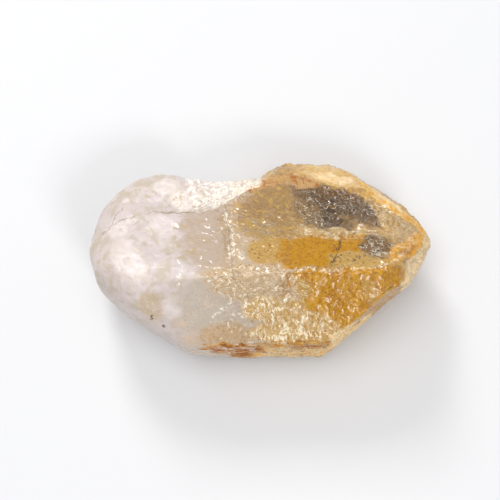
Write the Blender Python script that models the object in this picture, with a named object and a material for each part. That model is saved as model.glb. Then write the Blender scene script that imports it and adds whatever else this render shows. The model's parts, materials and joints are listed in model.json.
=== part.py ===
"""A quartz point lying on its side, as one natural solid.

The crystal's long axis runs along X, with its sharp end at +X and its blunt, weathered end at -X.
Each crystal face is one half space, named by the way it faces round the long axis and by how far
it leans towards an end. The sharp crystal and the blunt end are cut from blocks by such faces and
joined. Broken scoops, ledges and chips are then taken out, the blunt end is worn round, and the
skin gets its low swells. The solid stands on a flat broken face, with its origin under its middle.
"""

import math

import bmesh
import bpy
from mathutils import Matrix, Vector, noise

MM = 0.001

# Driving dimensions of the whole stone.
LENGTH = 60.0 * MM
WIDTH = 35.0 * MM
HEIGHT = 21.5 * MM

# The long axis stands this far over the face that the stone rests on.
AXIS = Vector((0.0, 0.0, 10.0 * MM))
BLOCK = 200.0 * MM

# A rhombohedral face of quartz leans this far from its prism face, in degrees.
RHOMB = 38.2

# Crystal faces as (degrees round the axis from straight up, where + is towards +Y; degrees of lean
# towards +X; distance from AXIS).
SHARP_CRYSTAL = {
    "front_upper_prism": (-30.0, 0.0, 12.3 * MM),
    "back_upper_prism": (30.0, 0.0, 7.6 * MM),
    "back_bevel": (46.0, 5.0, 11.4 * MM),
    "front_prism": (-84.0, 0.0, 16.8 * MM),
    "back_prism": (88.0, 0.0, 17.8 * MM),
    "front_lower_prism": (-150.0, 0.0, 13.9 * MM),
    "back_lower_prism": (150.0, 0.0, 13.7 * MM),
    "broken_base": (180.0, 0.0, 10.6 * MM),
    "front_upper_rhomb": (-30.0, RHOMB, 22.7 * MM),
    "back_upper_rhomb": (30.0, RHOMB, 20.4 * MM),
    "front_rhomb": (-86.0, RHOMB, 20.3 * MM),
    "front_rhomb_tip": (-86.0, 61.0, 25.8 * MM),
    "back_rhomb": (88.0, 32.0, 22.3 * MM),
    "back_rhomb_tip": (88.0, 48.0, 25.2 * MM),
    "back_rhomb_bevel": (62.0, 25.7, 18.6 * MM),
    "front_lower_rhomb": (-150.0, RHOMB, 19.0 * MM),
    "back_lower_rhomb": (150.0, RHOMB, 19.9 * MM),
    "chipped_tip": (-30.0, 61.0, 26.1 * MM),
    "blunted_tip": (-60.0, 84.0, 29.9 * MM),
    "step_wall": (-4.0, -80.0, 6.6 * MM),
    "notch_wall": (70.0, -30.0, 11.4 * MM),
}
BLUNT_END = {
    "front_upper_prism": (-30.0, 0.0, 12.25 * MM),
    "back_upper_prism": (30.0, 0.0, 6.9 * MM),
    "back_bevel": (48.0, 0.0, 8.2 * MM),
    "front_prism": (-84.0, 0.0, 17.0 * MM),
    "back_prism": (90.0, 0.0, 15.8 * MM),
    "front_lower_prism": (-150.0, 0.0, 13.6 * MM),
    "back_lower_prism": (150.0, 0.0, 12.4 * MM),
    "broken_base": (180.0, 0.0, 10.6 * MM),
    "front_upper_rhomb": (-30.0, -RHOMB, 23.6 * MM),
    "back_upper_rhomb": (30.0, -RHOMB, 20.8 * MM),
    "front_rhomb": (-86.0, -32.4, 21.3 * MM),
    "front_corner": (-86.0, -27.5, 21.4 * MM),
    "back_rhomb": (88.0, -48.0, 26.4 * MM),
    "back_corner": (88.0, -25.0, 22.4 * MM),
    "worn_back": (88.0, -60.0, 27.6 * MM),
    "front_lower_rhomb": (-150.0, -RHOMB, 21.8 * MM),
    "back_lower_rhomb": (150.0, -RHOMB, 21.3 * MM),
    "worn_front": (-86.0, -45.5, 24.4 * MM),
    "worn_end": (-86.0, -70.9, 28.7 * MM),
    "broken_end": (-88.0, -81.0, 29.9 * MM),
    "inside_sharp_crystal": (0.0, 90.0, 8.0 * MM),
}

# Broken scoops as (middle of the scoop on the skin; degrees round the axis and degrees of lean of the
# way it faces; half length along X; half width; depth).
SCOOPS = {
    "notch": ((-6.5, 11.6, 11.9), (44.0, -8.0), 6.2, 2.6, 1.0),
    "hollow": ((-5.5, 15.4, 6.8), (72.0, -4.0), 7.0, 5.0, 1.1),
    "window": ((12.0, 7.2, 14.62), (30.0, 2.0), 8.6, 5.4, 0.55),
}

# A rounded swelling that the back of the blunt end bulges out to: its middle and its half sizes.
LOBE_MIDDLE = Vector((-17.4, 2.2, 8.0)) * MM
LOBE_SIZE = Vector((12.6, 13.6, 5.0)) * MM

# The blunt end is worn round up to this far along X.
WORN_TO = -9.0 * MM
WEAR_STEPS = 14

# The skin's cells: this long along the axis, and this many planes through the axis cut them.
SLICE = 1.3 * MM
WEDGES = 36
ENDS_FROM = 22.0 * MM
SHORTEST_EDGE = 0.12 * MM

# Knocks along the crystal's edges go this deep.
KNOCK = 0.3 * MM


def outward(around, lean):
    """The unit normal of a face from its two angles in degrees."""
    turn, tilt = math.radians(around), math.radians(lean)
    return Vector(
        (
            math.sin(tilt),
            math.cos(tilt) * math.sin(turn),
            math.cos(tilt) * math.cos(turn),
        )
    )


def cut_off(bm, point, normal):
    """Takes away what lies beyond a plane and closes the cut with a flat face."""
    cut = bmesh.ops.bisect_plane(
        bm,
        geom=bm.verts[:] + bm.edges[:] + bm.faces[:],
        plane_co=point,
        plane_no=normal,
        clear_outer=True,
    )
    if cut["geom_cut"]:
        bmesh.ops.holes_fill(bm, edges=[e for e in bm.edges if e.is_boundary], sides=0)


def new_object(name, bm, collection):
    """An object with this bmesh as its mesh, in the collection."""
    mesh = bpy.data.meshes.new(name)
    bm.to_mesh(mesh)
    bm.free()
    made = bpy.data.objects.new(name, mesh)
    collection.objects.link(made)
    return made


def crystal_block(name, faces, collection):
    """A convex block bounded by the named crystal faces."""
    bm = bmesh.new()
    bmesh.ops.create_cube(bm, size=BLOCK, matrix=Matrix.Translation(AXIS))
    for around, lean, reach in faces.values():
        normal = outward(around, lean)
        cut_off(bm, AXIS + normal * reach, normal)
    bmesh.ops.recalc_face_normals(bm, faces=bm.faces[:])
    return new_object(name, bm, collection)


def scoop_cutter(name, middle, facing, half_length, half_width, depth, collection):
    """A flattened ball that takes a shallow scoop of this size out of the skin."""
    normal = outward(*facing)
    along = Vector((1.0, 0.0, 0.0))
    across = normal.cross(along).normalized()
    along = across.cross(normal)
    thick = depth / 0.6
    frame = Matrix((along, across, normal)).transposed().to_4x4()
    size = Matrix.Diagonal((half_length / 0.917, half_width / 0.917, thick, 1.0 / MM)) * MM
    place = Matrix.Translation(Vector(middle) * MM + normal * 0.4 * thick * MM)
    bm = bmesh.new()
    bmesh.ops.create_icosphere(bm, subdivisions=3, radius=1.0, matrix=place @ frame @ size)
    return new_object(name, bm, collection)


def lobe(collection):
    """The flattened ball that fills out the back of the blunt end."""
    place = Matrix.Translation(LOBE_MIDDLE) @ Matrix.Diagonal(LOBE_SIZE.to_4d() + Vector((0, 0, 0, 0)))
    bm = bmesh.new()
    bmesh.ops.create_icosphere(bm, subdivisions=4, radius=1.0, matrix=place)
    return new_object("lobe", bm, collection)


def combine(target, other, operation):
    """Adds a Boolean of this operation to target."""
    boolean = target.modifiers.new(other.name, "BOOLEAN")
    boolean.operation = operation
    boolean.object = other
    boolean.solver = "EXACT"
    other.hide_render = True
    other.display_type = "WIRE"


def take_evaluated(target):
    """The target's shape with its modifiers applied, as a bmesh; the modifiers are removed."""
    depsgraph = bpy.context.evaluated_depsgraph_get()
    bm = bmesh.new()
    bm.from_object(target, depsgraph)
    target.modifiers.clear()
    return bm


def divide(bm, faces, point, normal):
    """Adds an edge line to these faces of the skin where this plane crosses them."""
    edges = list({edge for face in faces for edge in face.edges})
    verts = list({vert for face in faces for vert in face.verts})
    bmesh.ops.bisect_plane(bm, geom=verts + edges + faces, plane_co=point, plane_no=normal)


def refine(bm):
    """Divides the skin into cells: slices along the axis, wedges round it, and a grid on the ends."""
    for count in range(int(LENGTH / SLICE)):
        place = (count + 0.5) * SLICE - LENGTH / 2.0
        divide(bm, bm.faces[:], Vector((place, 0.0, 0.0)), Vector((1.0, 0.0, 0.0)))
    for count in range(WEDGES):
        sides = [f for f in bm.faces if abs(f.calc_center_median().x) < ENDS_FROM]
        divide(bm, sides, AXIS, outward(180.0 * (count + 0.5) / WEDGES, 0.0))
    for way in (Vector((0.0, 1.0, 0.0)), Vector((0.0, 0.0, 1.0))):
        for count in range(-12, 13):
            ends = [f for f in bm.faces if abs(f.calc_center_median().x) > ENDS_FROM]
            divide(bm, ends, AXIS + way * (count + 0.5) * SLICE, way)
    bmesh.ops.dissolve_degenerate(bm, edges=bm.edges[:], dist=SHORTEST_EDGE)
    bmesh.ops.triangulate(bm, faces=bm.faces[:])


def wear_round(bm):
    """Rounds the blunt end, most at its far end."""
    for step in range(WEAR_STEPS):
        reach = WORN_TO - step * 0.6 * MM
        worn = [v for v in bm.verts if v.co.x < reach]
        bmesh.ops.smooth_vert(
            bm,
            verts=worn,
            factor=0.5,
            use_axis_x=True,
            use_axis_y=True,
            use_axis_z=True,
        )


def knock_edges(bm):
    """Pushes the crystal's sharp edges in by uneven amounts, as small knocks have left them."""
    bm.normal_update()
    moved = []
    for vert in bm.verts:
        sharpest = max(edge.calc_face_angle(0.0) for edge in vert.link_edges)
        if vert.co.x > WORN_TO and sharpest > math.radians(18.0):
            depth = max(0.0, noise.noise(vert.co * 900.0) + 0.15) * KNOCK
            moved.append((vert, vert.co - vert.normal * depth))
    for vert, place in moved:
        vert.co = place


def swell(bm):
    """Moves the skin in and out: low lumps on the worn end, faint waves on the crystal faces."""
    bm.normal_update()
    moved = []
    for vert in bm.verts:
        worn = min(1.0, max(0.0, (-6.0 * MM - vert.co.x) / (8.0 * MM)))
        lumps = noise.noise(vert.co * 190.0) * 0.30 * worn
        waves = noise.noise(vert.co * 420.0 + Vector((7.0, 3.0, 1.0))) * (0.07 + 0.08 * worn)
        moved.append((vert, vert.co + vert.normal * (lumps + waves) * MM))
    for vert, place in moved:
        vert.co = place


def seat(bm):
    """Gives the stone its flat resting face, its exact size, and its origin under its middle."""
    cut_off(bm, Vector((0.0, 0.0, 0.0)), Vector((0.0, 0.0, -1.0)))
    low = Vector([min(v.co[i] for v in bm.verts) for i in range(3)])
    high = Vector([max(v.co[i] for v in bm.verts) for i in range(3)])
    span = high - low
    middle = Vector(((low.x + high.x) / 2.0, (low.y + high.y) / 2.0, low.z))
    bmesh.ops.translate(bm, verts=bm.verts[:], vec=-middle)
    size = Vector((LENGTH / span.x, WIDTH / span.y, HEIGHT / span.z))
    bmesh.ops.scale(bm, verts=bm.verts[:], vec=size)


def quartz():
    """The stone's material."""
    material = bpy.data.materials.new("quartz")
    material.use_nodes = True
    shader = material.node_tree.nodes["Principled BSDF"]
    shader.inputs["Base Color"].default_value = (0.62, 0.47, 0.28, 1.0)
    shader.inputs["Roughness"].default_value = 0.18
    shader.inputs["Metallic"].default_value = 0.0
    shader.inputs["IOR"].default_value = 1.54
    return material


def main():
    for old in list(bpy.data.objects):
        bpy.data.objects.remove(old)
    parts = bpy.data.collections.new("quartz_point")
    cutters = bpy.data.collections.new("cutters")
    bpy.context.scene.collection.children.link(parts)
    bpy.context.scene.collection.children.link(cutters)

    stone = crystal_block("quartz_point", SHARP_CRYSTAL, parts)
    combine(stone, crystal_block("blunt_end", BLUNT_END, cutters), "UNION")
    combine(stone, lobe(cutters), "UNION")
    for name, (middle, facing, half_length, half_width, depth) in SCOOPS.items():
        cutter = scoop_cutter(name, middle, facing, half_length, half_width, depth, cutters)
        combine(stone, cutter, "DIFFERENCE")

    bm = take_evaluated(stone)
    refine(bm)
    wear_round(bm)
    knock_edges(bm)
    swell(bm)
    seat(bm)
    bmesh.ops.triangulate(bm, faces=bm.faces[:])
    bmesh.ops.recalc_face_normals(bm, faces=bm.faces[:])
    bm.to_mesh(stone.data)
    bm.free()
    stone.data.shade_smooth()
    stone.data.set_sharp_from_angle(angle=math.radians(25.0))
    stone.data.materials.append(quartz())


if __name__ == "__main__":
    main()
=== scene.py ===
"""A rough quartz point, dressed: its broken skin, its cloudy and clear parts and its iron stains.

The stone rests on a plain pale floor in soft studio light. Sizes are in metres, +Z is up, the
crystal's long axis lies along X and its sharp end points to +X.
"""

import json
import logging
import math
from dataclasses import dataclass, field
from enum import Enum
from typing import Any, Callable

import bmesh
import bpy
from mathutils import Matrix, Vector, noise
from mathutils.kdtree import KDTree

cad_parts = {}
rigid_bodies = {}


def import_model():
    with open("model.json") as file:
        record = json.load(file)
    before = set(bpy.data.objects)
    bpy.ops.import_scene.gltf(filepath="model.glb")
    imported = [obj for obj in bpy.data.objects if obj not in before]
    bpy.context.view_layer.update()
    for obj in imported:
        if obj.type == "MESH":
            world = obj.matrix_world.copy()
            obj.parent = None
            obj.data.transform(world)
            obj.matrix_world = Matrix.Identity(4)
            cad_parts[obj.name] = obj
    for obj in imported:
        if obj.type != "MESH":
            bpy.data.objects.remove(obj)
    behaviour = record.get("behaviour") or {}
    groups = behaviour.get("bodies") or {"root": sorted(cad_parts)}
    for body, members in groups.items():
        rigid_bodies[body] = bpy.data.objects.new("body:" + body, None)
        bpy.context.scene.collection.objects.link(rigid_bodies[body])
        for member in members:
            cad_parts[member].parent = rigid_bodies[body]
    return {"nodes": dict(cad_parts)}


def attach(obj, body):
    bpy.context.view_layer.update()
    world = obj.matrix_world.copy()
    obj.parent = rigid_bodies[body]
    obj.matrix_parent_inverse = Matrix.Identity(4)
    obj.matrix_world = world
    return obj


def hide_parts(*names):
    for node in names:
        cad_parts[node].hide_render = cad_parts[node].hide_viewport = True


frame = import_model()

LOG = logging.getLogger("quartz_point")
MM = 0.001
Colour = tuple[float, float, float]
Triple = tuple[float, float, float]
Point = tuple[float, float]


class Way(Enum):
    """How two values or colours meet in a node."""

    ADD = "ADD"
    TAKE = "SUBTRACT"
    TIMES = "MULTIPLY"
    LOWEST = "MINIMUM"
    HIGHEST = "MAXIMUM"


class Grain(Enum):
    """The soft pattern that mottles a layer."""

    HAZE = "haze"
    WISPS = "wisps"
    FINE = "fine"
    GRAIN = "grain"
    DOWN = "down"
    ACROSS = "across"
    ALONG = "along"
    FAN = "fan"
    ALONG_SLOPE = "along the slope"


class Lines(Enum):
    """The white lines that a layer shows."""

    NONE = "none"
    STRANDS = "strands"
    UPRIGHT = "upright"
    NET = "net"
    NEEDLES = "needles"
    FANNED = "fanned"
    FROST = "frost"
    RAYS = "rays"
    ALONG_EDGE = "along the edge"


class Space(Enum):
    """Which place a pattern reads: the point's own, or that place moved about by soft noise."""

    STILL = "still"
    BENT = "bent"
    TORN = "torn"


@dataclass(frozen=True)
class Value:
    """A number that changes over the stone, held by one socket of the material.

    Args:
        kit: the material's node kit.
        socket: the socket that gives the number.
    """

    kit: "NodeKit"
    socket: Any

    def _with(self, way: Way, first: Any, second: Any) -> "Value":
        """A Math node on two values."""
        return self.kit.value("ShaderNodeMath", {"operation": way.value}, {0: first, 1: second})

    def __add__(self, other: Any) -> "Value":
        """This value plus another."""
        return self._with(Way.ADD, self, other)

    def __radd__(self, other: Any) -> "Value":
        """Another value plus this one."""
        return self._with(Way.ADD, other, self)

    def __sub__(self, other: Any) -> "Value":
        """This value less another."""
        return self._with(Way.TAKE, self, other)

    def __rsub__(self, other: Any) -> "Value":
        """Another value less this one."""
        return self._with(Way.TAKE, other, self)

    def __mul__(self, other: Any) -> "Value":
        """This value times another."""
        return self._with(Way.TIMES, self, other)

    def __rmul__(self, other: Any) -> "Value":
        """Another value times this one."""
        return self._with(Way.TIMES, other, self)

    def or_more(self, other: Any) -> "Value":
        """The higher of this value and another."""
        return self._with(Way.HIGHEST, self, other)

    def or_less(self, other: Any) -> "Value":
        """The lower of this value and another."""
        return self._with(Way.LOWEST, self, other)

    def rise(self, low: float, high: float) -> "Value":
        """0 below low and 1 above high, with a smooth rise between.

        Args:
            low: where the rise starts.
            high: where it ends; below low, the rise turns into a fall.

        Returns:
            The value from 0 to 1.
        """
        settings = {"interpolation_type": "SMOOTHSTEP", "clamp": True}
        start, end, first, last = (low, high, 0.0, 1.0) if low < high else (high, low, 1.0, 0.0)
        inputs = {"Value": self, "From Min": start, "From Max": end, "To Min": first, "To Max": last}
        return self.kit.value("ShaderNodeMapRange", settings, inputs, "Result")


class NodeKit:
    """Adds the nodes of one material, or of one group in it."""

    def __init__(self, tree: Any, material: Any = None) -> None:
        """Starts on an empty tree.

        Args:
            tree: the node tree.
            material: the material that it belongs to, if it isn't a group's.
        """
        self.tree = tree
        self.material = material
        self.tree.nodes.clear()

    @classmethod
    def of_material(cls, name: str) -> "NodeKit":
        """Starts a new material.

        Args:
            name: its name.

        Returns:
            Its kit.
        """
        material = bpy.data.materials.new(name)
        material.use_nodes = True
        return cls(material.node_tree, material)

    def group(self, name: str, place: Any, build: Callable[["NodeKit", Any], Value]) -> Value:
        """Adds a group that turns the place into one value.

        Args:
            name: the group's name.
            place: the place that it takes.
            build: the function that adds the group's nodes, from its kit and its place.

        Returns:
            The group's value.
        """
        tree = bpy.data.node_groups.new(name, "ShaderNodeTree")
        tree.interface.new_socket("Place", in_out="INPUT", socket_type="NodeSocketVector")
        tree.interface.new_socket("Mask", in_out="OUTPUT", socket_type="NodeSocketFloat")
        inner = NodeKit(tree)
        start = inner.node("NodeGroupInput", {}, {}).outputs[0]
        inner.node("NodeGroupOutput", {}, {0: build(inner, start)})
        return self.value("ShaderNodeGroup", {"node_tree": tree}, {0: place})

    def node(self, kind: str, settings: dict[str, Any], inputs: dict[Any, Any]) -> Any:
        """Adds one node.

        Args:
            kind: the node's type.
            settings: its properties, which are set first.
            inputs: values or links of its sockets, by name or number.

        Returns:
            The node.
        """
        made = self.tree.nodes.new(kind)
        for key, setting in settings.items():
            setattr(made, key, setting)
        for key, given in inputs.items():
            socket = made.inputs[key]
            source = given.socket if isinstance(given, Value) else given
            if isinstance(source, bpy.types.NodeSocket):
                self.tree.links.new(source, socket)
            elif isinstance(source, tuple) and len(source) == 3 and socket.type == "RGBA":
                socket.default_value = (*source, 1.0)
            else:
                socket.default_value = source
        return made

    def value(self, kind: str, settings: dict[str, Any], inputs: dict[Any, Any], out: Any = 0) -> Value:
        """Adds one node and gives one of its outputs as a value."""
        return Value(self, self.node(kind, settings, inputs).outputs[out])

    def place(self) -> Any:
        """Where a point of the stone is, in its own space, in millimetres."""
        own = self.node("ShaderNodeTexCoord", {}, {}).outputs["Object"]
        return self.vector("SCALE", own, scale=1.0 / MM)

    def vector(self, way: str, first: Any, second: Any = (0.0, 0.0, 0.0), scale: float = 1.0) -> Any:
        """A Vector Math node.

        Args:
            way: its operation.
            first: the first vector.
            second: the second vector, where the operation has one.
            scale: the factor, where the operation has one.

        Returns:
            The vector's socket.
        """
        inputs = {0: first, "Scale": scale} if way == "SCALE" else {0: first, 1: second}
        return self.node("ShaderNodeVectorMath", {"operation": way}, inputs).outputs["Vector"]

    def stretch(
        self,
        place: Any,
        sizes: Triple,
        turn: Triple = (0.0, 0.0, 0.0),
        middle: Triple = (0.0, 0.0, 0.0),
    ) -> Any:
        """The place as counted from a middle, in turned steps of these sizes.

        Args:
            place: the vector to map.
            sizes: the length of one step along each turned axis.
            turn: the turn about X, Y and Z in degrees.
            middle: the point counted from.

        Returns:
            The vector's socket.
        """
        angles = tuple(math.radians(angle) for angle in turn)
        inputs = {"Vector": place, "Location": middle, "Rotation": angles, "Scale": sizes}
        return self.node("ShaderNodeMapping", {"vector_type": "TEXTURE"}, inputs).outputs[0]

    def shaken(self, place: Any, size: float, reach: float) -> Any:
        """The place moved about by soft noise.

        Args:
            place: the vector to move.
            size: how wide the noise's lumps are, in millimetres.
            reach: how far it moves a point, in millimetres.

        Returns:
            The vector's socket.
        """
        inputs = {"Vector": place, "Scale": 1.0 / size, "Detail": 3.0}
        lumps = self.node("ShaderNodeTexNoise", {}, inputs).outputs["Color"]
        move = self.vector("SUBTRACT", lumps, (0.5, 0.5, 0.5))
        return self.vector("ADD", place, self.vector("SCALE", move, scale=reach))

    def after(self, mask: Value, place: Any) -> Any:
        """The place, for nodes that the renderer works out only after this mask.

        It keeps few values at once in the renderer's small store.

        Args:
            mask: the mask to wait for.
            place: the vector, which moves by a hair where the mask is 1.

        Returns:
            The vector's socket.
        """
        hair = (0.0001, 0.0001, 0.0001)
        inputs = {0: mask, 1: hair, 2: place}
        return self.node("ShaderNodeVectorMath", {"operation": "MULTIPLY_ADD"}, inputs).outputs["Vector"]

    def cloud(
        self, place: Any, size: float, detail: float = 3.0, rough: float = 0.5, twist: float = 0.0
    ) -> Value:
        """Soft noise about 0.5.

        Args:
            place: the vector that it reads.
            size: how wide its lumps are, in millimetres.
            detail: how many finer noises lie on it.
            rough: how strong those are, from 0 to 1.
            twist: how far the noise twists itself.

        Returns:
            The noise's value.
        """
        inputs = {
            "Vector": place, "Scale": 1.0 / size, "Detail": detail, "Roughness": rough, "Distortion": twist
        }
        return self.value("ShaderNodeTexNoise", {}, inputs, "Fac")

    def cells(self, place: Any, size: float) -> Value:
        """How far a place is from the edges of broken cells of this size."""
        inputs = {"Vector": place, "Scale": 1.0 / size}
        return self.value("ShaderNodeTexVoronoi", {"feature": "DISTANCE_TO_EDGE"}, inputs, "Distance")

    def contours(self, field: Value, count: float, width: float) -> Value:
        """Thin lines along which a soft noise keeps one height.

        Args:
            field: the noise.
            count: how many lines its whole range has.
            width: how wide they are, from 0 to 0.5.

        Returns:
            1 on a line and 0 between lines.
        """
        swing = self.value("ShaderNodeMath", {"operation": "PINGPONG"}, {0: field * count, 1: 0.5})
        return swing.rise(width, width * 0.2)

    def blend(self, amount: Any, first: Any, second: Any) -> Any:
        """The colour that lies this far from the first to the second."""
        inputs = {0: amount, 6: first, 7: second}
        return self.node("ShaderNodeMix", {"data_type": "RGBA"}, inputs).outputs[2]

    def finish(self, surface: Any, volume: Any = None) -> bpy.types.Material:
        """Ends the material in these shaders.

        Args:
            surface: the surface shader.
            volume: the volume shader, if it has one.

        Returns:
            The material.
        """
        out = self.node("ShaderNodeOutputMaterial", {}, {"Surface": surface})
        if volume is not None:
            self.tree.links.new(volume, out.inputs["Volume"])
        return self.material


@dataclass(frozen=True)
class Noise:
    """A soft noise, which may be drawn out along turned axes.

    Args:
        size: how wide its lumps are, in millimetres.
        detail: how many finer noises lie on it.
        rough: how strong those are, from 0 to 1.
        drawn: how far it is drawn out along each turned axis.
        turn: the turn about Z, in degrees.
        twist: how far the noise twists itself.
        space: the place that it reads.
    """

    size: float
    detail: float
    rough: float
    drawn: Triple | None = None
    turn: float = 0.0
    twist: float = 0.0
    space: Space = Space.TORN

    def value(self, kit: NodeKit, places: dict[Space, Any]) -> Value:
        """The noise's value.

        Args:
            kit: the material's node kit.
            places: the places that a pattern may read.

        Returns:
            A value about 0.5.
        """
        place = places[self.space]
        if self.drawn:
            place = kit.stretch(place, self.drawn, (0.0, 0.0, self.turn))
        return kit.cloud(place, self.size, self.detail, self.rough, self.twist)


@dataclass(frozen=True)
class Streaks:
    """White lines where a noise stands high.

    Args:
        noise: the noise.
        low: where in it a line starts to show.
        high: where a line is full.
    """

    noise: Noise
    low: float
    high: float

    def value(self, kit: NodeKit, places: dict[Space, Any]) -> Value:
        """1 on a line and 0 between lines."""
        return self.noise.value(kit, places).rise(self.low, self.high)


@dataclass(frozen=True)
class Contours:
    """Thin white lines along which a noise keeps one height.

    Args:
        noise: the noise.
        count: how many lines its whole range has.
        width: how wide they are, from 0 to 0.5.
    """

    noise: Noise
    count: float
    width: float

    def value(self, kit: NodeKit, places: dict[Space, Any]) -> Value:
        """1 on a line and 0 between lines."""
        return kit.contours(self.noise.value(kit, places), self.count, self.width)


GRAINS = {
    Grain.HAZE: Noise(2.4, 4.0, 0.6, space=Space.BENT),
    Grain.WISPS: Noise(1.6, 4.0, 0.65, (1.0, 0.45, 1.0), -28.0),
    Grain.FINE: Noise(0.55, 3.0, 0.7, space=Space.STILL),
    Grain.GRAIN: Noise(0.3, 2.0, 0.7, space=Space.STILL),
    Grain.DOWN: Noise(1.0, 4.0, 0.65, (0.32, 2.2, 2.2), -6.0),
    Grain.ACROSS: Noise(1.0, 4.0, 0.7, (4.5, 0.8, 0.9)),
    Grain.ALONG: Noise(1.0, 4.0, 0.65, (2.6, 0.3, 0.8), 37.0),
    Grain.ALONG_SLOPE: Noise(1.0, 4.0, 0.65, (2.6, 0.4, 0.8), -38.0),
    Grain.FAN: Noise(1.0, 4.0, 0.7, (0.32, 2.0, 1.0), 14.0),
}
CONTOURS = {
    Lines.STRANDS: Contours(Noise(1.5, 2.0, 0.5, (2.6, 0.8, 1.0), -34.0, 0.8), 11.0, 0.13),
    Lines.UPRIGHT: Contours(Noise(1.7, 3.0, 0.55, (0.7, 3.0, 3.0), -10.0), 10.0, 0.11),
}
STREAKS = {
    Lines.NEEDLES: (
        Streaks(Noise(0.9, 2.0, 0.6, (2.2, 0.26, 0.4), -40.0), 0.57, 0.66),
        Streaks(Noise(0.9, 2.0, 0.6, (2.0, 0.24, 0.4), 24.0), 0.59, 0.68),
    ),
    Lines.FANNED: (Streaks(Noise(0.95, 4.0, 0.6, (0.5, 2.0, 1.0), 16.0, 1.0), 0.50, 0.60),),
    Lines.FROST: (Streaks(Noise(1.1, 4.0, 0.7, (0.5, 1.6, 1.0), -34.0, 0.6), 0.42, 0.56),),
    Lines.RAYS: (Streaks(Noise(1.0, 3.0, 0.6, (2.4, 0.26, 0.5), -12.0), 0.52, 0.60),),
    Lines.ALONG_EDGE: (Streaks(Noise(1.0, 3.0, 0.6, (2.6, 0.3, 0.5), -38.0), 0.56, 0.66),),
}

# About half way up the stone, and further than any part of it, in millimetres.
MIDDLE_Z, FAR = 10.0, 400.0


@dataclass(frozen=True)
class Spot:
    """An oval part of the skin, from one end to the other, as seen from above in millimetres.

    Args:
        start: one end.
        end: the other end.
        width: its full width.
        soft: how wide its soft edge is, as a share of its half width.
    """

    start: Point
    end: Point
    width: float
    soft: float = 0.5

    def mask(self, kit: NodeKit, place: Any) -> Value:
        """The spot's mask.

        Args:
            place: the place that it reads.

        Returns:
            1 inside the spot and 0 outside.
        """
        along = Vector(self.end) - Vector(self.start)
        middle = (Vector(self.start) + Vector(self.end)) / 2.0
        turn = math.degrees(math.atan2(along.y, along.x))
        sizes = (along.length / 2.0, self.width / 2.0, FAR)
        local = kit.stretch(place, sizes, (0.0, 0.0, turn), (middle.x, middle.y, MIDDLE_Z))
        away = kit.value("ShaderNodeVectorMath", {"operation": "LENGTH"}, {0: local}, "Value")
        return away.rise(1.0 + self.soft / 2.0, 1.0 - self.soft / 2.0)


@dataclass(frozen=True)
class Zone:
    """A part of the skin within straight edges, with no inward corner, as seen from above.

    Args:
        corners: its corners in order round it, in millimetres.
        soft: how wide its soft edge is, in millimetres.
        levels: its lowest and highest Z, where it doesn't reach right through.
    """

    corners: tuple[Point, ...]
    soft: float = 0.8
    levels: Point | None = None

    def mask(self, kit: NodeKit, place: Any) -> Value:
        """The zone's mask.

        Args:
            place: the place that it reads.

        Returns:
            1 inside the zone and 0 outside.
        """
        points = [Vector(corner) for corner in self.corners]
        low, high = self.levels or (-FAR, FAR)
        middle = sum(points, Vector((0.0, 0.0))) / len(points)
        from_middle = kit.vector("SUBTRACT", place, (middle.x, middle.y, (low + high) / 2.0))
        sides, gaps = [], []
        for start, end in zip(points, points[1:] + points[:1]):
            across = Vector((end.y - start.y, start.x - end.x)).normalized()
            gaps.append(across.dot(start - middle))
            sides.append((across.x / gaps[-1], across.y / gaps[-1], 0.0))
        if self.levels:
            sides += [(0.0, 0.0, 2.0 / (high - low)), (0.0, 0.0, 2.0 / (low - high))]
        steps = [
            kit.value(
                "ShaderNodeVectorMath", {"operation": "DOT_PRODUCT"}, {0: from_middle, 1: side}, "Value"
            )
            for side in sides
        ]
        reach = steps[0]
        for step in steps[1:]:
            reach = reach.or_more(step)
        edge = self.soft * len(gaps) / sum(abs(gap) for gap in gaps)
        outer, inner = edge * 0.7, edge * 0.3
        return reach.rise(1.0 + outer, 1.0 - inner)


def any_of(kit: NodeKit, name: str, place: Any, shapes: tuple[Spot | Zone, ...]) -> Value:
    """One mask for several shapes.

    Args:
        kit: the material's node kit.
        name: the name of the group that holds the shapes' nodes.
        place: the place that they read.
        shapes: the shapes.

    Returns:
        1 inside any of the shapes and 0 outside.
    """

    def build(inner: NodeKit, start: Any) -> Value:
        """Adds the shapes' nodes one after another.

        Args:
            inner: the group's node kit.
            start: the group's own place.

        Returns:
            The highest of the shapes' masks.
        """
        whole = shapes[0].mask(inner, start)
        for shape in shapes[1:]:
            whole = whole.or_more(shape.mask(inner, inner.after(whole, start)))
        return whole

    return kit.group(name, place, build)


def tint(red: int, green: int, blue: int) -> Colour:
    """A colour of a paint chart, as the shaders take it.

    Args:
        red: its red, 0 to 255.
        green: its green, 0 to 255.
        blue: its blue, 0 to 255.

    Returns:
        The colour in linear light.
    """
    parts = [part / 255.0 for part in (red, green, blue)]
    return tuple(part / 12.92 if part <= 0.04045 else ((part + 0.055) / 1.055) ** 2.4 for part in parts)


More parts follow.
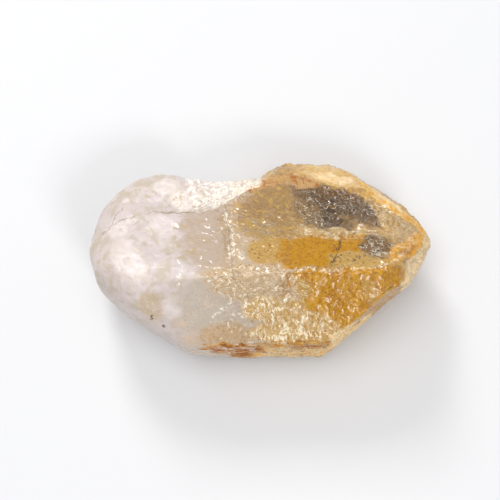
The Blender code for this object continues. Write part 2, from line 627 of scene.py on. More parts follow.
class Tone(Enum):
    """The colours of quartz, its milk and its iron stain, and of the shade painted into it."""

    MILK = tint(210, 198, 196)
    PALE_MILK = tint(230, 219, 214)
    SHADED_MILK = tint(198, 185, 170)
    GREY_MILK = tint(212, 190, 170)
    BEIGE = tint(212, 184, 146)
    TAN = tint(198, 158, 104)
    STRAW = tint(234, 196, 130)
    CREAM = tint(252, 224, 178)
    HONEY = tint(236, 192, 104)
    AMBER = tint(232, 170, 40)
    GOLD = tint(230, 170, 10)
    OCHRE = tint(196, 130, 0)
    RUST = tint(166, 90, 0)
    UMBER = tint(124, 86, 40)
    # Smoky tint with painted shade: the darkness of a dark ground seen through clear quartz is painted into
    # these two colours.
    SMOKY_TINT_AND_PAINTED_SHADE = tint(156, 122, 80)
    DARK_SMOKY_TINT_AND_PAINTED_SHADE = tint(108, 76, 44)
    FROST = tint(252, 248, 238)
    GLINT = tint(255, 243, 216)
    # Dark cracks and specks, and the shade painted along the worn end's creases.
    SOOT_AND_CREASE_SHADE = tint(90, 62, 36)


@dataclass(frozen=True)
class Layer:
    """One colour layer of the stone: where it lies and what it looks like.

    Args:
        name: what it is.
        shapes: the parts of the skin that it covers.
        main: its main colour.
        deep: the colour of its mottles.
        grain: the pattern of the mottles.
        cover: how fully it covers what is under it.
        cloud: how cloudy the quartz is there, 0 to 1.
        crisp: how crisp its edge is, 0 to 1.
        lines: the white lines that it shows.
        lined: how strong they are.
        mottled: where in the pattern the mottles start.
        dull: how dull its surface is, 0 to 1, where it is duller than the rest.
        worn: below this height of its pattern it is worn away.
    """

    name: str
    shapes: tuple[Spot | Zone, ...]
    main: Tone
    deep: Tone
    grain: Grain = Grain.HAZE
    cover: float = 0.95
    cloud: float = 0.8
    crisp: float = 0.5
    lines: Lines = Lines.NONE
    lined: float = 0.0
    mottled: float = 0.44
    dull: float = 0.0
    worn: float = 0.0


def trail(points: tuple[Point, ...], width: float, soft: float = 0.6) -> tuple[Spot, ...]:
    """Thin spots end to end along a broken line."""
    return tuple(Spot(start, end, width, soft) for start, end in zip(points, points[1:]))


# Where the steep front band starts, and a place in front of it, along Y; its top and foot along Z; and
# how wide its stains' soft edges are.
FRONT_Y, BEFORE_FRONT_Y = -15.8, -22.0
BAND_TOP, BAND_FOOT = 14.4, 4.5
BAND_SOFT = 3.0


def on_band(left: float, right: float, top: float = BAND_TOP, foot: float = BAND_FOOT) -> Zone:
    """A part of the steep front band, in millimetres.

    Args:
        left: its left end along X.
        right: its right end.
        top: its highest Z.
        foot: its lowest Z.

    Returns:
        The zone.
    """
    corners = ((left, FRONT_Y), (right, FRONT_Y), (right, BEFORE_FRONT_Y), (left, BEFORE_FRONT_Y))
    return Zone(corners, BAND_SOFT, (foot, top))


MILKY_END = (
    Layer(
        "beige middle", (Spot((-24.0, -2.0), (5.0, -2.0), 44.0, 0.8),), Tone.GREY_MILK, Tone.SHADED_MILK,
        cloud=0.88, crisp=0.0,
    ),
    Layer(
        "milky end", (Spot((-47.0, 4.0), (-8.5, -3.0), 60.0, 0.6),), Tone.MILK, Tone.SHADED_MILK,
        cloud=0.93, crisp=0.0,
    ),
    # Paler milk on the worn end's lobes, partly painted highlights on them.
    Layer(
        "pale lumps and painted highlights",
        (
            Spot((-27.0, 5.0), (-23.0, 3.0), 3.6, 1.1), Spot((-19.5, 5.5), (-14.5, 3.5), 3.6, 1.1),
            Spot((-25.0, 1.5), (-20.0, -7.5), 5.5, 1.1), Spot((-19.5, 12.5), (-13.0, 12.0), 3.2, 1.1),
            Spot((-16.5, -9.0), (-13.5, -11.5), 3.5, 1.1),
        ),
        Tone.PALE_MILK, Tone.MILK, Grain.WISPS, cover=0.6, cloud=0.96, crisp=0.1, mottled=0.5,
    ),
    Layer(
        "brown shade", (Spot((-19.4, -7.5), (-17.8, -12.5), 3.4, 1.8),), Tone.BEIGE, Tone.TAN, Grain.DOWN,
        cover=0.4, cloud=0.85, crisp=0.0, mottled=0.52,
    ),
    Layer(
        "frosted shoulder", (Spot((-15.5, 10.5), (-9.5, 8.0), 4.2, 0.9),), Tone.PALE_MILK, Tone.GREY_MILK,
        Grain.FINE, cloud=0.92, crisp=0.2, lines=Lines.FROST, lined=0.45,
    ),
    Layer(
        "notch", (Zone(((-13.0, 15.5), (0.5, 15.5), (-0.5, 12.6), (-8.5, 7.6), (-11.5, 8.0)), 1.2),),
        Tone.MILK, Tone.GREY_MILK, Grain.FINE, cloud=0.98, crisp=0.3, lines=Lines.FROST, lined=0.9,
    ),
)

BEIGE_MIDDLE = (
    Layer(
        "clear beige window", (Spot((-9.5, 10.0), (-9.0, -5.0), 9.0, 1.4),), Tone.GREY_MILK, Tone.BEIGE,
        Grain.HAZE, cover=0.85, cloud=0.7, mottled=0.54, crisp=0.1,
    ),
    Layer(
        "grey foot", (Spot((-15.0, -10.5), (-1.0, -10.5), 12.0, 1.3),), Tone.SHADED_MILK, Tone.GREY_MILK,
        Grain.HAZE, cover=0.85, cloud=0.9, crisp=0.0, mottled=0.52,
    ),
    Layer(
        "tan foot", (Spot((-10.5, -14.8), (-1.0, -14.2), 3.4, 1.5),), Tone.BEIGE, Tone.TAN, Grain.FINE,
        cover=0.8, cloud=0.8, crisp=0.0,
    ),
    Layer(
        "tan column", (Spot((-5.5, 9.0), (-4.5, -4.5), 3.4, 1.3),), Tone.BEIGE, Tone.TAN, Grain.FINE,
        cover=0.6, cloud=0.75, crisp=0.1, lines=Lines.UPRIGHT, lined=0.6, mottled=0.5,
    ),
    Layer(
        "needle zone", (Spot((-10.0, -5.5), (8.5, -7.5), 6.4, 0.9),), Tone.BEIGE, Tone.TAN, Grain.FINE,
        cover=0.9, cloud=0.8, crisp=0.2, lines=Lines.NEEDLES, lined=0.85, mottled=0.5,
    ),
)

CLEAR_END = (
    Layer(
        "honey face",
        (Spot((-4.5, 7.0), (10.0, 6.5), 11.0, 1.2), Spot((-2.0, 10.5), (8.0, 11.5), 4.0, 1.0)), Tone.TAN,
        Tone.HONEY, Grain.WISPS, cloud=0.6, crisp=0.0, lines=Lines.NEEDLES, lined=0.2, mottled=0.48,
    ),
    Layer(
        "pale patch", (Spot((-3.5, 4.5), (3.5, 3.0), 3.6, 1.1),), Tone.BEIGE, Tone.HONEY, Grain.WISPS,
        cover=0.7, cloud=0.55, crisp=0.0, lines=Lines.NEEDLES, lined=0.4,
    ),
    Layer(
        "mottled gold", (Spot((-2.5, -0.4), (6.0, -0.8), 5.4, 1.0),), Tone.HONEY, Tone.RUST, Grain.FINE,
        cover=0.9, cloud=0.62, crisp=0.1, mottled=0.53,
    ),
    Layer(
        "streaky shoulder", (Spot((6.5, 10.0), (11.5, 3.0), 4.4, 1.4),), Tone.TAN, Tone.SMOKY_TINT_AND_PAINTED_SHADE, Grain.DOWN,
        cloud=0.5, crisp=0.2, lines=Lines.STRANDS, lined=0.9,
    ),
    # The smoky window and its heart: a smoky tint, with the shade of a dark ground seen through clear quartz
    # painted into their colour.
    Layer(
        "smoky window with painted shade", (Spot((5.0, 12.4), (22.6, 5.0), 5.6, 0.7), Spot((8.5, 7.6), (16.0, 3.6), 4.6, 1.2)),
        Tone.TAN, Tone.SMOKY_TINT_AND_PAINTED_SHADE, Grain.WISPS, cloud=0.46, crisp=0.0, lines=Lines.STRANDS, lined=0.5,
        mottled=0.36,
    ),
    Layer(
        "heart of the window",
        (Spot((8.0, 11.2), (21.4, 6.0), 3.8, 1.2), Spot((11.2, 8.5), (13.4, 3.2), 3.0, 1.0)), Tone.SMOKY_TINT_AND_PAINTED_SHADE,
        Tone.DARK_SMOKY_TINT_AND_PAINTED_SHADE, Grain.WISPS, cloud=0.5, crisp=0.0, lines=Lines.STRANDS, lined=0.75, mottled=0.38,
    ),
    Layer(
        "window brow", (Spot((6.0, 12.2), (18.5, 9.4), 1.5, 0.8),), Tone.DARK_SMOKY_TINT_AND_PAINTED_SHADE, Tone.UMBER, Grain.FINE,
        cover=0.8, crisp=0.1,
    ),
    Layer(
        "golden shoulder", (Zone(((19.5, 9.6), (22.5, 8.0), (27.5, 2.6), (23.5, -1.5), (21.6, 2.5)), 1.6),),
        Tone.STRAW, Tone.TAN, Grain.DOWN, cloud=0.66, crisp=0.2, lines=Lines.RAYS, lined=0.5,
    ),
    Layer(
        "pale sill", (Spot((5.8, 3.0), (22.0, 2.4), 2.2, 0.8),), Tone.STRAW, Tone.SMOKY_TINT_AND_PAINTED_SHADE, Grain.FINE,
        cloud=0.66, crisp=0.3, lines=Lines.RAYS, lined=0.6, mottled=0.5,
    ),
    Layer(
        "golden film",
        (Zone(((4.0, 1.2), (10.0, 2.2), (17.5, 2.0), (18.0, -1.0), (12.5, -3.6), (4.6, -3.8)), 2.6),),
        Tone.GOLD, Tone.OCHRE, Grain.FINE, cloud=0.7, crisp=0.0, mottled=0.44,
    ),
    Layer(
        "film foot", (Zone(((12.0, -1.2), (22.0, -1.0), (21.0, -3.2), (12.0, -3.8)), 1.2),), Tone.HONEY,
        Tone.UMBER, Grain.FINE, cloud=0.6, crisp=0.1, lines=Lines.NEEDLES, lined=0.4, mottled=0.5,
    ),
    Layer(
        "netted window", (Spot((17.4, 1.2), (22.4, -0.8), 4.6, 1.2),), Tone.SMOKY_TINT_AND_PAINTED_SHADE, Tone.DARK_SMOKY_TINT_AND_PAINTED_SHADE,
        Grain.WISPS, cloud=0.5, crisp=0.1, lines=Lines.NET, lined=0.7,
    ),
    Layer(
        "golden facet",
        (Zone(((6.0, -5.0), (25.0, -3.6), (25.0, -7.0), (14.5, -14.0), (9.0, -11.5)), 1.8),), Tone.GOLD,
        Tone.OCHRE, Grain.DOWN, cloud=0.72, crisp=0.0, mottled=0.45,
    ),
    Layer(
        "paler gold",
        (Spot((17.8, -5.0), (18.6, -10.0), 2.4, 0.8), Spot((6.0, -5.5), (8.0, -9.0), 2.4, 0.9)), Tone.HONEY,
        Tone.OCHRE, Grain.FINE, cover=0.85, cloud=0.6, crisp=0.3, mottled=0.5,
    ),
    Layer(
        "deep gold",
        (Spot((12.0, -6.0), (13.8, -12.5), 4.0, 1.0), Spot((22.0, -5.5), (23.0, -7.5), 2.0, 1.0)),
        Tone.OCHRE, Tone.GOLD, Grain.GRAIN, cover=0.8, cloud=0.7, crisp=0.1,
    ),
    Layer(
        "pale tip", (Zone(((24.8, -2.8), (28.2, 3.4), (33.0, -1.0), (28.5, -9.0), (24.5, -8.0)), 2.4),),
        Tone.CREAM, Tone.BEIGE, Grain.WISPS, cloud=0.93, dull=0.7, crisp=0.0,
    ),
    Layer(
        "cream bevel", (Zone(((5.0, 13.0), (8.0, 17.0), (16.5, 17.0), (19.5, 10.6), (13.0, 12.4)), 0.9),),
        Tone.STRAW, Tone.HONEY, Grain.WISPS, cloud=0.8, crisp=0.3, lines=Lines.ALONG_EDGE, lined=0.4,
    ),
    Layer(
        "amber edge", (Zone(((16.0, 15.0), (31.0, 3.0), (27.0, 1.6), (22.0, 7.5), (17.0, 10.6)), 1.4),),
        Tone.AMBER, Tone.STRAW, Grain.ALONG_SLOPE, cloud=0.93, dull=0.5, crisp=0.3, lines=Lines.ALONG_EDGE,
        lined=0.5,
    ),
    Layer(
        "bright cream",
        (Spot((9.0, 14.8), (16.5, 13.4), 2.4, 1.0), Spot((20.0, 11.6), (25.5, 6.6), 1.2, 1.2)), Tone.CREAM,
        Tone.STRAW, Grain.WISPS, cover=0.9, cloud=0.93, crisp=0.2,
    ),
    Layer(
        "golden corner", (Spot((21.5, -2.6), (28.5, 3.2), 3.0, 0.9),), Tone.AMBER, Tone.OCHRE, Grain.FINE,
        cover=0.9, cloud=0.93, crisp=0.3, mottled=0.48,
    ),
    Layer(
        "upper rim",
        (
            Zone(((-4.0, 9.2), (-1.5, 12.6), (7.5, 16.0), (6.5, 12.8), (0.5, 11.6)), 0.9),
            Spot((4.0, 14.0), (10.5, 12.6), 2.4, 1.0),
        ),
        Tone.TAN, Tone.RUST, Grain.WISPS, cloud=0.93, dull=0.85, crisp=0.4, mottled=0.48,
    ),
)

FRONT_SIDE = (
    Layer(
        "crumpled foot",
        (
            Spot((-3.0, -10.5), (5.0, -11.0), 4.0, 1.1), Spot((2.0, -12.5), (13.5, -14.0), 5.0, 1.0),
            Spot((-2.0, -14.2), (9.0, -14.6), 3.4, 0.9),
        ),
        Tone.STRAW, Tone.OCHRE, Grain.FAN, cloud=0.72, crisp=0.1, lines=Lines.FANNED, lined=0.95,
        mottled=0.50,
    ),
    Layer(
        "front band",
        (
            on_band(-9.5, 14.0, BAND_TOP, 11.4), on_band(-7.0, 13.5, 12.4, 7.6),
            on_band(-4.5, 14.0, 9.0, BAND_FOOT),
        ),
        Tone.AMBER, Tone.RUST, Grain.ACROSS, cloud=0.9, crisp=0.0, dull=0.9, worn=0.40,
    ),
    Layer(
        "rusty band",
        (
            on_band(-8.0, -1.0, 13.4, 9.6), on_band(-4.5, 2.0, 11.6, 8.0), on_band(-5.0, -2.0, 9.0, 6.4),
            on_band(5.5, 8.5, 13.8, 11.2), on_band(7.5, 11.5, 12.6, 10.4),
        ),
        Tone.RUST, Tone.UMBER, Grain.ACROSS, cover=0.9, cloud=0.9, crisp=0.0, mottled=0.54, dull=0.95,
        worn=0.42,
    ),
    Layer(
        "cream band",
        (
            on_band(2.4, 12.0, 10.4, 7.0), on_band(-0.6, 13.0, 8.0, 5.6), on_band(1.6, 11.0, 6.6, 3.6),
            on_band(1.4, 4.8, 12.6, 9.4),
        ),
        Tone.CREAM, Tone.AMBER, Grain.ACROSS, cover=0.9, cloud=0.9, crisp=0.0, mottled=0.48, dull=0.8,
        worn=0.40,
    ),
    Layer(
        "pale side", (Zone(((12.0, -15.0), (13.5, -18.0), (27.5, -8.5), (25.0, -7.0)), 0.8),), Tone.CREAM,
        Tone.AMBER, Grain.ALONG, cloud=0.93, dull=0.8, worn=0.36, crisp=0.4, mottled=0.48,
    ),
    Layer(
        "rusty streaks",
        trail(((5.2, 1.2), (4.6, -3.2)), 0.8, 1.6) + trail(((4.8, -4.6), (3.8, -8.6)), 1.2, 1.5)
        + trail(((19.3, -4.6), (19.5, -7.0)), 0.7, 1.5) + trail(((22.5, -2.0), (26.5, 0.8)), 0.8, 1.5),
        Tone.UMBER, Tone.OCHRE, Grain.FINE, cover=0.85, worn=0.40, cloud=0.88, dull=0.8, crisp=0.2,
    ),
)

LAYERS = MILKY_END + BEIGE_MIDDLE + CLEAR_END + FRONT_SIDE

CRACKS = (
    trail(((-5.9, 0.6), (-4.4, -0.9), (-2.2, -2.4)), 0.9)
    + trail(((-14.2, -7.2), (-13.2, -4.6)), 0.7)
    + trail(((-13.2, -4.6), (-15.0, -1.5)), 0.4)
    + trail(((0.5, 5.4), (1.6, 5.2)), 0.9)
    + trail(((-6.4, 8.2), (-5.2, 3.4), (-5.0, -3.6)), 0.9)
    + trail(((6.4, 4.6), (8.2, 2.8)), 0.9)
    + trail(((-8.4, -12.0), (-5.0, -9.6)), 0.5)
    + trail(((9.0, -5.4), (9.4, -9.0)), 0.3)
)
SEAMS = trail(((-12.0, -3.4), (-6.0, -4.0), (0.0, -4.2)), 0.35) + trail(
    ((5.6, -4.3), (9.5, -4.5), (14.0, -4.1), (18.5, -3.9), (22.0, -2.9), (24.6, -1.0)), 0.55
)
DARK_CRACKS = trail(((14.2, 1.6), (13.2, -0.8), (11.8, -3.4)), 0.45) + trail(((13.2, -0.8), (12.4, 0.6)), 0.3)
SPECKS = (Spot((-18.9, -11.2), (-18.6, -12.0), 0.5), Spot((-16.7, -12.9), (-16.1, -13.2), 0.35))
# Painted shade: dark lines along the soft creases of the worn end, where shade falls.
PAINTED_CREASE_SHADE = trail(((-27.5, 4.4), (-21.0, 6.6), (-9.5, 7.4)), 0.22) + trail(((-28.0, 2.0), (-24.0, 8.5)), 0.2)


@dataclass
class Skin:
    """The stone's skin while its layers are laid on it.

    Args:
        kit: the material's node kit.
        torn: the place that the layers' edges read.
        grains: the soft patterns.
        lines: the white lines.
        colour: its colour so far.
        white: how strong its white cracks are so far.
        mask: the mask that was made last.
        cloudy: how cloudy it is so far.
        dull: how dull it is so far.
        edge: half the width of the softest edge, as a share of a mask.
        crispness: how much of that a crisp edge takes off.
        ragged: how far a pattern frays an edge.
        mottle: how much of a pattern's range lies between main and deep colour.
        wear: how much of it lies between worn and whole.
    """

    kit: NodeKit
    torn: Any
    grains: dict[Grain, Value]
    lines: dict[Lines, Value]
    colour: Any
    white: Value
    mask: Value
    cloudy: Any = 0.7
    dull: Any = 0.0
    edge: float = 0.32
    crispness: float = 0.2
    ragged: float = 1.2
    mottle: float = 0.16
    wear: float = 0.12

    def lay(self, layer: Layer) -> None:
        """Lays one more layer over what is there.

        Args:
            layer: the layer.
        """
        pattern = self.grains[layer.grain]
        raw = any_of(self.kit, layer.name, self.kit.after(self.mask, self.torn), layer.shapes)
        slack = self.edge - layer.crisp * self.crispness
        mask = (raw + (pattern - 0.5) * self.ragged).rise(0.5 - slack, 0.5 + slack) * layer.cover
        if layer.worn > 0.0:
            mask = mask * pattern.rise(layer.worn, layer.worn + self.wear)
        mottled = pattern.rise(layer.mottled, layer.mottled + self.mottle)
        tone = self.kit.blend(mottled, layer.main.value, layer.deep.value)
        self.colour = self.kit.blend(mask, self.colour, tone)
        self.cloudy = self.cloudy + (layer.cloud - self.cloudy) * mask
        if layer.dull > 0.0:
            self.dull = (mask * layer.dull).or_more(self.dull)
        if layer.lines is not Lines.NONE:
            self.white = self.white.or_more(mask * self.lines[layer.lines] * layer.lined)
        self.mask = mask


@dataclass(frozen=True)
class QuartzFinish:
    """The stone's own skin: clear quartz, milk, frost, iron stain and white cracks, with shade painted into
    its clear windows and along its creases.

    Args:
        ground: the colour of the stone where no layer lies.
        ground_deep: the colour of its mottles.
        frost: the colour of cracks and frosted breaks.
        glint: the colour of cracks in the golden end.
        soot: the colour of dark cracks and specks, and of the shade painted along the worn end's creases.
        layers: the colour layers, from the lowest.
        golden_from: where along X the golden end starts and where it is full, in millimetres.
        broken: where in the wisps a white line starts and is full.
        net: how near the edge of a cell the net starts and is full.
        hazed: where in the haze the ground's mottles start and are full.
        flecked: where in the finest noise but one a crack starts and is full.
        glinting: where in the finest noise a glint starts and is full.
        glints: how strong the glints are.
        seamed: where in the finest noise but one a pale seam starts and is full.
        seam: how strong the pale seams are.
        speckles: where in the finest noises dark speckles start and are full.
        speckled_by: how strong they are in the milky end, and how much stronger in the golden end.
        whitened: how much of the colour a white crack hides.
        sooty: where in the finest noise but one a dark crack starts and is full.
        sootiness: how strong the dark cracks are.
        crease_shade: how strong the shade painted along the worn end's creases is.
        speckled: what the dark speckles leave of the colour.
        paled: how much paler the clear quartz is than its stain.
        ior: the refraction of quartz.
        depth_tint: what thick clear quartz lets through.
        depth: how dense its tint is, per metre.
        milk: how much light the milk scatters inside.
        milk_reach: how far red, green and blue go in it, one to another.
        milk_scale: how far they go, in metres.
        milk_gloss: the milk's own reflection.
        polish: how rough the clear coat is.
        rough: how rough the clear faces are.
        rough_drift: how much that changes from place to place.
        rough_cracks: how much rougher white cracks are.
        rough_milk: how much rougher the milk is.
        bump: how strong the fine relief is.
        bump_depth: how deep it is, in metres.
    """

    ground: Tone = Tone.HONEY
    ground_deep: Tone = Tone.TAN
    frost: Tone = Tone.FROST
    glint: Tone = Tone.GLINT
    soot: Tone = Tone.SOOT_AND_CREASE_SHADE
    layers: tuple[Layer, ...] = LAYERS
    golden_from: Point = (-12.0, 2.0)
    broken: Point = (0.40, 0.52)
    net: Point = (0.11, 0.03)
    hazed: Point = (0.35, 0.65)
    flecked: Point = (0.54, 0.62)
    glinting: Point = (0.68, 0.76)
    glints: float = 0.2
    seamed: Point = (0.46, 0.56)
    seam: float = 0.7
    speckles: Point = (0.56, 0.30)
    speckled_by: Point = (0.08, 0.65)
    whitened: float = 0.92
    sooty: Point = (0.30, 0.46)
    sootiness: float = 0.85
    crease_shade: float = 0.45
    speckled: Colour = (0.66, 0.60, 0.50)
    paled: float = 0.45
    ior: float = 1.54
    depth_tint: Colour = (0.93, 0.80, 0.56)
    depth: float = 9.0
    milk: float = 0.45
    milk_reach: Triple = (1.0, 0.9, 0.75)
    milk_scale: float = 0.0014
    milk_gloss: float = 0.3
    polish: float = 0.09
    rough: float = 0.12
    rough_drift: float = 0.16
    rough_cracks: float = 0.3
    rough_milk: float = 0.28
    bump: float = 0.6
    bump_depth: float = 0.00016

    def _lines(self, kit: NodeKit, places: dict[Space, Any], wisps: Value) -> dict[Lines, Value]:
        """The patterns of white lines.

        Args:
            kit: the material's node kit.
            places: the places that a pattern may read.
            wisps: the pattern that breaks the longer lines up.

        Returns:
            The patterns, each 1 on a line.
        """
        broken = wisps.rise(*self.broken)
        drawn = {name: contours.value(kit, places) * broken for name, contours in CONTOURS.items()}
        net = kit.cells(kit.stretch(places[Space.TORN], (1.6, 0.7, 1.0), (0.0, 0.0, -30.0)), 0.8)
        drawn[Lines.NET] = net.rise(*self.net) * broken
        for name, streaks in STREAKS.items():
            drawn[name] = streaks[0].value(kit, places)
            for more in streaks[1:]:
                drawn[name] = drawn[name].or_more(more.value(kit, places))
        return drawn

    def _golden(self, kit: NodeKit, place: Any) -> Value:
        """0 in the milky end and 1 in the golden end, as a place's X says."""
        return kit.value("ShaderNodeSeparateXYZ", {}, {0: place}).rise(*self.golden_from)

    def _layered(self, kit: NodeKit, places: dict[Space, Any], grains: dict[Grain, Value]) -> Skin:
        """The skin with all its layers.

        Args:
            kit: the material's node kit.
            places: the places that a pattern may read.
            grains: the soft patterns.

        Returns:
            The skin.
        """
        fine, grain = grains[Grain.FINE], grains[Grain.GRAIN]
        lines = self._lines(kit, places, grains[Grain.WISPS])
        mottled = grains[Grain.HAZE].rise(*self.hazed)
        colour = kit.blend(mottled, self.ground.value, self.ground_deep.value)
        flecked = lines[Lines.NEEDLES].or_more(fine.rise(*self.flecked))
        cracks = any_of(kit, "cracks", places[Space.TORN], CRACKS) * flecked
        white = cracks.or_more(grain.rise(*self.glinting) * self.glints)
        skin = Skin(kit, places[Space.TORN], grains, lines, colour, white, white)
        for layer in self.layers:
            skin.lay(layer)
        return skin

    def _marked(self, kit: NodeKit, skin: Skin, golden: Value) -> tuple[Any, Value, Value]:
        """The skin with its seams, speckles, cracks and specks, and the shade painted along its creases.

        Args:
            kit: the material's node kit.
            skin: the skin with its layers.
            golden: how golden the stone is.

        Returns:
            Its colour, how white its cracks make it and how cloudy it is.
        """
        fine, grain = skin.grains[Grain.FINE], skin.grains[Grain.GRAIN]
        ledge = any_of(kit, "seams", kit.after(skin.mask, skin.torn), SEAMS)
        white = skin.white.or_more(ledge * fine.rise(*self.seamed) * self.seam)
        least, more = self.speckled_by
        whole = 1.0 - fine.or_less(grain).rise(*self.speckles) * (golden * more + least)
        shade = kit.blend(whole, self.speckled, (1.0, 1.0, 1.0))
        times = {"data_type": "RGBA", "blend_type": "MULTIPLY"}
        colour = kit.node("ShaderNodeMix", times, {0: 1.0, 6: skin.colour, 7: shade}).outputs[2]
        pale = kit.blend(golden, self.frost.value, self.glint.value)
        colour = kit.blend(white * self.whitened, colour, pale)
        soot = any_of(kit, "dark cracks", kit.after(white, skin.torn), DARK_CRACKS + SPECKS)
        soot = soot * fine.rise(*self.sooty) * self.sootiness
        # Painted shade along the worn end's creases, darkened to the soot colour.
        seams = any_of(kit, "painted crease shade", kit.after(soot, skin.torn), PAINTED_CREASE_SHADE) * self.crease_shade
        colour = kit.blend(soot.or_more(seams), colour, self.soot.value)
        lightness = kit.value("ShaderNodeRGBToBW", {}, {0: colour})
        cloudy = (skin.cloudy + (lightness - 0.4) * 0.08).or_more(white).or_more(soot)
        return colour, white, cloudy

    def _relief(self, kit: NodeKit, place: Any, grains: dict[Grain, Value]) -> Any:
        """The fine relief: a tooth all over, and soft flakes on the golden end.

        Args:
            kit: the material's node kit.
            place: the point's own place.
            grains: the soft patterns.

        Returns:
            The normal's socket.
        """
        flakes = kit.cloud(kit.stretch(place, (1.0, 1.7, 1.2), (0.0, 0.0, 30.0)), 1.7, 1.0)
        pointed = self._golden(kit, place)
        tooth = (grains[Grain.FINE] * 0.5 + grains[Grain.GRAIN] * 0.3) * (pointed * 0.6 + 0.4)
        height = tooth + flakes * pointed * 1.4
        depth = {"Strength": self.bump, "Distance": self.bump_depth}
        return kit.node("ShaderNodeBump", {}, {**depth, "Height": height}).outputs[0]

    def material(self) -> bpy.types.Material:
        """Builds the material.

        Returns:
            The finished material.
        """
        kit = NodeKit.of_material("quartz")
        place = kit.place()
        bent = kit.shaken(place, 3.4, 2.6)
        places = {Space.STILL: place, Space.BENT: bent, Space.TORN: kit.shaken(bent, 0.8, 1.1)}
        golden = self._golden(kit, bent)
        grains = {grain: pattern.value(kit, places) for grain, pattern in GRAINS.items()}
        skin = self._layered(kit, places, grains)
        colour, white, cloudy = self._marked(kit, skin, golden)

        rough = self.rough + (grains[Grain.FINE] - 0.5) * self.rough_drift
        rough = rough + white * self.rough_cracks + cloudy.rise(0.86, 0.95) * self.rough_milk
        shared = {
            "Roughness": rough.or_more(skin.dull),
            "IOR": self.ior,
            "Normal": self._relief(kit, place, grains),
        }
        milky = {
            "Base Color": colour,
            "Subsurface Weight": self.milk,
            "Subsurface Radius": self.milk_reach,
            "Subsurface Scale": self.milk_scale,
            "Specular IOR Level": self.milk_gloss,
            "Coat Weight": (golden * 0.40 + 0.05) * (1.0 - skin.dull),
            "Coat Roughness": self.polish,
        }
        solid = kit.node("ShaderNodeBsdfPrincipled", {}, {**shared, **milky})
        glassy = {"Base Color": kit.blend(self.paled, colour, (1.0, 1.0, 1.0)), "Transmission Weight": 1.0}
        clear = kit.node("ShaderNodeBsdfPrincipled", {}, {**shared, **glassy})
        mixed = kit.node("ShaderNodeMixShader", {}, {0: cloudy, 1: clear.outputs[0], 2: solid.outputs[0]})
        tinted = {"Color": self.depth_tint, "Density": self.depth}
        depth = kit.node("ShaderNodeVolumeAbsorption", {}, tinted)
        return kit.finish(mixed.outputs[0], depth.outputs[0])


@dataclass(frozen=True)
class FloorFinish:
    """A plain pale paper floor with a faint tooth.

    Args:
        shade: its colour.
        other: the colour that it drifts to.
        rough: how matt it is.
    """

    shade: Colour = (0.70, 0.70, 0.71)
    other: Colour = (0.72, 0.72, 0.725)
    rough: float = 0.75

    def material(self) -> bpy.types.Material:
        """Builds the material.

        Returns:
            The finished material.
        """
        kit = NodeKit.of_material("pale_floor")
        place = kit.place()
        tooth = kit.cloud(place, 1.2)
        colour = kit.blend(kit.cloud(place, 60.0, 2.0), self.shade, self.other)
        bump = kit.node("ShaderNodeBump", {}, {"Strength": 0.05, "Distance": 0.0002, "Height": tooth})
        look = {"Base Color": colour, "Roughness": self.rough, "Normal": bump.outputs[0]}
        return kit.finish(kit.node("ShaderNodeBsdfPrincipled", {}, look).outputs[0])


@dataclass(frozen=True)
class Dome:
    """A smooth rise over an oval part of the skin, as seen from above in millimetres.

    Args:
        x: the oval's middle along X.
        y: its middle along Y.
        half_x: its half length.
        half_y: its half width.
    """

    x: float
    y: float
    half_x: float
    half_y: float

    def rise(self, x: float, y: float) -> float:
        """1 at the oval's middle and 0 outside it."""
        away = ((x - self.x) / self.half_x) ** 2 + ((y - self.y) / self.half_y) ** 2
        return max(0.0, 1.0 - away) ** 0.7


@dataclass(frozen=True)
class Lumps:
    """Soft lumps in the mesh.

    Args:
        finer: how many there are to a millimetre.
        height: how high they are, in millimetres.
    """

    finer: float
    height: float

    def rise(self, place: Vector) -> float:
        """How far they stand out at a place."""
        return noise.noise(place * self.finer) * self.height


# Where in the noise the pits and the chips are read, so that they don't follow the lumps.
PITS_AT, CHIPS_AT = (9.0, 2.0, 4.0), (3.0, 5.0, 7.0)


def share(value: float, whole: float) -> float:
    """How much of a whole a value is, held from 0 to 1."""
    return min(1.0, max(0.0, value / whole))


